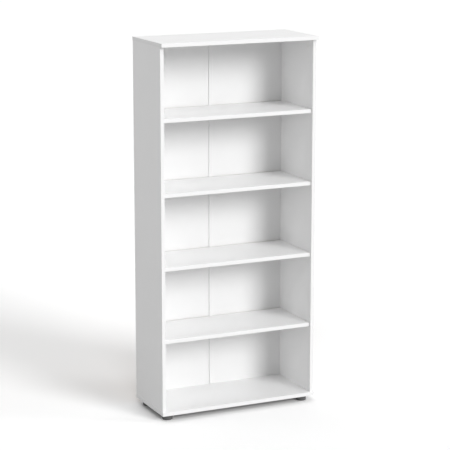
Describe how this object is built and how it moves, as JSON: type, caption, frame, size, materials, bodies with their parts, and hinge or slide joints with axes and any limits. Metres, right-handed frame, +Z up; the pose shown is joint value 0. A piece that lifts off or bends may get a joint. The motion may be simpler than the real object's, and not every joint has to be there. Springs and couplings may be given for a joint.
{
  "type": "bookcase",
  "caption": "Tall narrow open bookcase of white boards on round feet, with loose shelves on pins in rows of holes, a two-part back and a top that overhangs.",
  "frame": {"origin": "centre of the bounding box's base, on the floor", "axes": "+X to the right as seen from the front, +Y to the rear, +Z up"},
  "size_m": [0.8, 0.3542, 1.788],
  "materials": {
    "white_board": "white melamine, matte",
    "white_edge": "white edge band",
    "back_board": "white hardboard",
    "strip_plastic": "white, satin",
    "pin_plastic": "white, satin",
    "foot_plastic": "dark grey",
    "insert_plastic": "nylon",
    "fitting_steel": "zinc plated",
    "cam_zinc": "cast zinc",
    "dowel_wood": "beech"
  },
  "bodies": {
    "case": {"top_board": "white_board", "top_front_band": "white_edge", "top_left_band": "white_edge", "top_right_band": "white_edge", "bottom_board": "white_board", "bottom_front_band": "white_edge", "bottom_left_band": "white_edge", "bottom_right_band": "white_edge", "left_side": "white_board", "left_side_band": "white_edge", "back_left_half": "back_board", "right_side": "white_board", "right_side_band": "white_edge", "back_right_half": "back_board", "back_strip": "strip_plastic", "cam_bolts": "fitting_steel", "base_screws": "fitting_steel", "dowels": "dowel_wood", "foot_inserts": "insert_plastic"},
    "shelf_1": {"shelf_1": "white_board", "shelf_1_band": "white_edge"},
    "shelf_2": {"shelf_2": "white_board", "shelf_2_band": "white_edge"},
    "shelf_3": {"shelf_3": "white_board", "shelf_3_band": "white_edge"},
    "shelf_4": {"shelf_4": "white_board", "shelf_4_band": "white_edge"},
    "shelf_1_left_pins": {"shelf_1_left_pins": "pin_plastic"},
    "shelf_1_right_pins": {"shelf_1_right_pins": "pin_plastic"},
    "shelf_2_left_pins": {"shelf_2_left_pins": "pin_plastic"},
    "shelf_2_right_pins": {"shelf_2_right_pins": "pin_plastic"},
    "shelf_3_left_pins": {"shelf_3_left_pins": "pin_plastic"},
    "shelf_3_right_pins": {"shelf_3_right_pins": "pin_plastic"},
    "shelf_4_left_pins": {"shelf_4_left_pins": "pin_plastic"},
    "shelf_4_right_pins": {"shelf_4_right_pins": "pin_plastic"},
    "foot_front_left": {"foot_front_left": "foot_plastic"},
    "foot_rear_left": {"foot_rear_left": "foot_plastic"},
    "foot_front_right": {"foot_front_right": "foot_plastic"},
    "foot_rear_right": {"foot_rear_right": "foot_plastic"},
    "cam_front_left": {"cam_front_left": "cam_zinc", "cam_front_left_cover": "pin_plastic"},
    "cam_rear_left": {"cam_rear_left": "cam_zinc", "cam_rear_left_cover": "pin_plastic"},
    "cam_front_right": {"cam_front_right": "cam_zinc", "cam_front_right_cover": "pin_plastic"},
    "cam_rear_right": {"cam_rear_right": "cam_zinc", "cam_rear_right_cover": "pin_plastic"}
  },
  "joints": [
    {"name": "shelf_1_pull", "type": "slide", "parent": "case", "child": "shelf_1", "axis": [0, -1, 0], "range_m": [0, 0.33]},
    {"name": "shelf_2_pull", "type": "slide", "parent": "case", "child": "shelf_2", "axis": [0, -1, 0], "range_m": [0, 0.33]},
    {"name": "shelf_3_pull", "type": "slide", "parent": "case", "child": "shelf_3", "axis": [0, -1, 0], "range_m": [0, 0.33]},
    {"name": "shelf_4_pull", "type": "slide", "parent": "case", "child": "shelf_4", "axis": [0, -1, 0], "range_m": [0, 0.33]},
    {"name": "shelf_1_left_pins_draw", "type": "slide", "parent": "case", "child": "shelf_1_left_pins", "axis": [1, 0, 0], "range_m": [0, 0.01]},
    {"name": "shelf_1_right_pins_draw", "type": "slide", "parent": "case", "child": "shelf_1_right_pins", "axis": [-1, 0, 0], "range_m": [0, 0.01]},
    {"name": "shelf_2_left_pins_draw", "type": "slide", "parent": "case", "child": "shelf_2_left_pins", "axis": [1, 0, 0], "range_m": [0, 0.01]},
    {"name": "shelf_2_right_pins_draw", "type": "slide", "parent": "case", "child": "shelf_2_right_pins", "axis": [-1, 0, 0], "range_m": [0, 0.01]},
    {"name": "shelf_3_left_pins_draw", "type": "slide", "parent": "case", "child": "shelf_3_left_pins", "axis": [1, 0, 0], "range_m": [0, 0.01]},
    {"name": "shelf_3_right_pins_draw", "type": "slide", "parent": "case", "child": "shelf_3_right_pins", "axis": [-1, 0, 0], "range_m": [0, 0.01]},
    {"name": "shelf_4_left_pins_draw", "type": "slide", "parent": "case", "child": "shelf_4_left_pins", "axis": [1, 0, 0], "range_m": [0, 0.01]},
    {"name": "shelf_4_right_pins_draw", "type": "slide", "parent": "case", "child": "shelf_4_right_pins", "axis": [-1, 0, 0], "range_m": [0, 0.01]},
    {"name": "foot_front_left_level", "type": "slide", "parent": "case", "child": "foot_front_left", "axis": [0, 0, -1], "range_m": [0, 0.008]},
    {"name": "foot_rear_left_level", "type": "slide", "parent": "case", "child": "foot_rear_left", "axis": [0, 0, -1], "range_m": [0, 0.008]},
    {"name": "foot_front_right_level", "type": "slide", "parent": "case", "child": "foot_front_right", "axis": [0, 0, -1], "range_m": [0, 0.008]},
    {"name": "foot_rear_right_level", "type": "slide", "parent": "case", "child": "foot_rear_right", "axis": [0, 0, -1], "range_m": [0, 0.008]},
    {"name": "cam_front_left_turn", "type": "hinge", "parent": "case", "child": "cam_front_left", "pos_m": [-0.3805, -0.09515, 1.736], "axis": [1, 0, 0], "range_deg": [0, 180]},
    {"name": "cam_rear_left_turn", "type": "hinge", "parent": "case", "child": "cam_rear_left", "pos_m": [-0.3805, 0.11285, 1.736], "axis": [1, 0, 0], "range_deg": [0, 180]},
    {"name": "cam_front_right_turn", "type": "hinge", "parent": "case", "child": "cam_front_right", "pos_m": [0.3805, -0.09515, 1.736], "axis": [-1, 0, 0], "range_deg": [0, 180]},
    {"name": "cam_rear_right_turn", "type": "hinge", "parent": "case", "child": "cam_rear_right", "pos_m": [0.3805, 0.11285, 1.736], "axis": [-1, 0, 0], "range_deg": [0, 180]}
  ]
}
